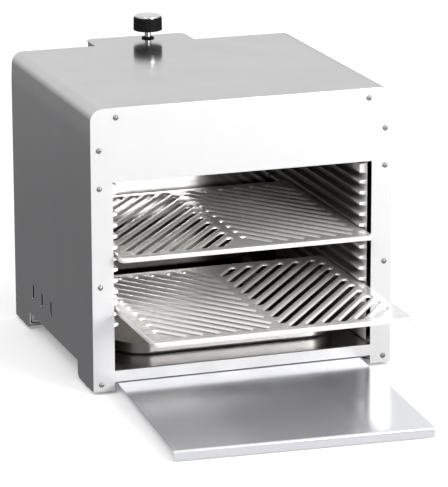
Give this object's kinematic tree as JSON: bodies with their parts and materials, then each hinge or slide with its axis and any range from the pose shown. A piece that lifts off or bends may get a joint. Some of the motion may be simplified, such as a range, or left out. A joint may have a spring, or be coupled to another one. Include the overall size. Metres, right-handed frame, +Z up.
{
  "type": "tabletop top-heat broiler grill",
  "caption": "Tabletop top-heat broiler grill: open-front steel cabinet with an overhead gas burner, slotted grates on ribbed side guides, drip pan, base tray and a push-and-turn knob.",
  "frame": {"origin": "middle of the whole part's footprint, on the table it stands on", "axes": "+Z up; -Y is the open front, towards which grates and tray are drawn out; +X is to the right of someone facing the front"},
  "size_m": [0.42, 0.7476, 0.4195],
  "materials": {
    "casing_steel": "satin stainless sheet with a fine grain",
    "front_steel": "bright stainless sheet",
    "inner_steel": "bright rolled stainless sheet, slightly heat-tinted",
    "guide_steel": "pressed stainless sheet, darkened by heat behind its front edge",
    "back_steel": "bright rolled stainless sheet, sooted low down",
    "pan_steel": "deep-drawn stainless sheet",
    "grate_steel": "pressed stainless sheet, polished",
    "tray_steel": "mirror-like stainless sheet",
    "burner_steel": "plain stainless sheet, heat-tinted",
    "ceramic": "porous fired ceramic, matt",
    "gas_brass": "turned brass",
    "chrome_trim": "polished",
    "black_plastic": "satin black",
    "lead_rubber": "matt black sleeve",
    "foot_rubber": "matt black",
    "screw_steel": "plain stainless"
  },
  "bodies": {
    "cabinet": {"outer_casing": "casing_steel", "rear_panel": "casing_steel", "valve_housing": "casing_steel", "front_panel": "front_steel", "rack_guide_left": "guide_steel", "rack_guide_right": "guide_steel", "inner_back_wall": "back_steel", "floor_panel": "inner_steel", "heat_shield": "inner_steel", "tray_bracket_front_left": "inner_steel", "tray_bracket_front_right": "inner_steel", "tray_bracket_rear_left": "inner_steel", "tray_bracket_rear_right": "inner_steel", "burner_box": "burner_steel", "tile_frame": "burner_steel", "radiant_screen": "burner_steel", "mixing_tube": "burner_steel", "valve_bracket": "burner_steel", "inlet_bracket": "burner_steel", "burner_tile_1": "ceramic", "burner_tile_2": "ceramic", "burner_tile_3": "ceramic", "burner_tile_4": "ceramic", "igniter_electrode": "ceramic", "gas_valve": "gas_brass", "gas_jet": "gas_brass", "gas_inlet": "gas_brass", "gas_pipe": "gas_brass", "thermocouple": "gas_brass", "knob_bezel": "black_plastic", "piezo_igniter": "black_plastic", "ignition_lead": "lead_rubber", "foot_front_left": "foot_rubber", "foot_front_right": "foot_rubber", "foot_rear_left": "foot_rubber", "foot_rear_right": "foot_rubber", "front_screw_left_1": "screw_steel", "front_screw_right_1": "screw_steel", "front_screw_left_2": "screw_steel", "front_screw_right_2": "screw_steel", "front_screw_left_3": "screw_steel", "front_screw_right_3": "screw_steel", "front_screw_left_4": "screw_steel", "front_screw_right_4": "screw_steel", "front_screw_left_5": "screw_steel", "front_screw_right_5": "screw_steel", "housing_screw_1": "screw_steel", "housing_screw_2": "screw_steel", "housing_screw_3": "screw_steel", "housing_screw_4": "screw_steel", "return_spring": "screw_steel"},
    "upper_grate": {"upper_grate": "grate_steel"},
    "lower_grate": {"lower_grate": "grate_steel"},
    "drip_pan": {"drip_pan": "pan_steel"},
    "base_tray": {"base_tray": "tray_steel"},
    "valve_plunger": {"valve_plunger": "gas_brass"},
    "knob": {"valve_stem": "screw_steel", "control_knob": "black_plastic", "knob_cap": "chrome_trim"}
  },
  "joints": [
    {"name": "upper_grate_slide", "type": "slide", "parent": "cabinet", "child": "upper_grate", "axis": [0, -1, 0], "range_m": [-0.07, 0.2]},
    {"name": "lower_grate_slide", "type": "slide", "parent": "cabinet", "child": "lower_grate", "axis": [0, -1, 0], "range_m": [-0.209, 0.08]},
    {"name": "drip_pan_slide", "type": "slide", "parent": "cabinet", "child": "drip_pan", "axis": [0, -1, 0], "range_m": [-0.03, 0.26]},
    {"name": "base_tray_slide", "type": "slide", "parent": "cabinet", "child": "base_tray", "axis": [-0.0558, -0.9984, 0], "range_m": [-0.293, 0.03]},
    {"name": "knob_push", "type": "slide", "parent": "cabinet", "child": "valve_plunger", "axis": [0, 0, -1], "range_m": [0, 0.003], "stiffness_N_per_m": 1500, "springref_m": -0.002, "deforming": ["return_spring"]},
    {"name": "knob_turn", "type": "hinge", "parent": "valve_plunger", "child": "knob", "pos_m": [0, 0.35277, 0.4], "axis": [0, 0, 1], "range_deg": [0, 200]}
  ]
}
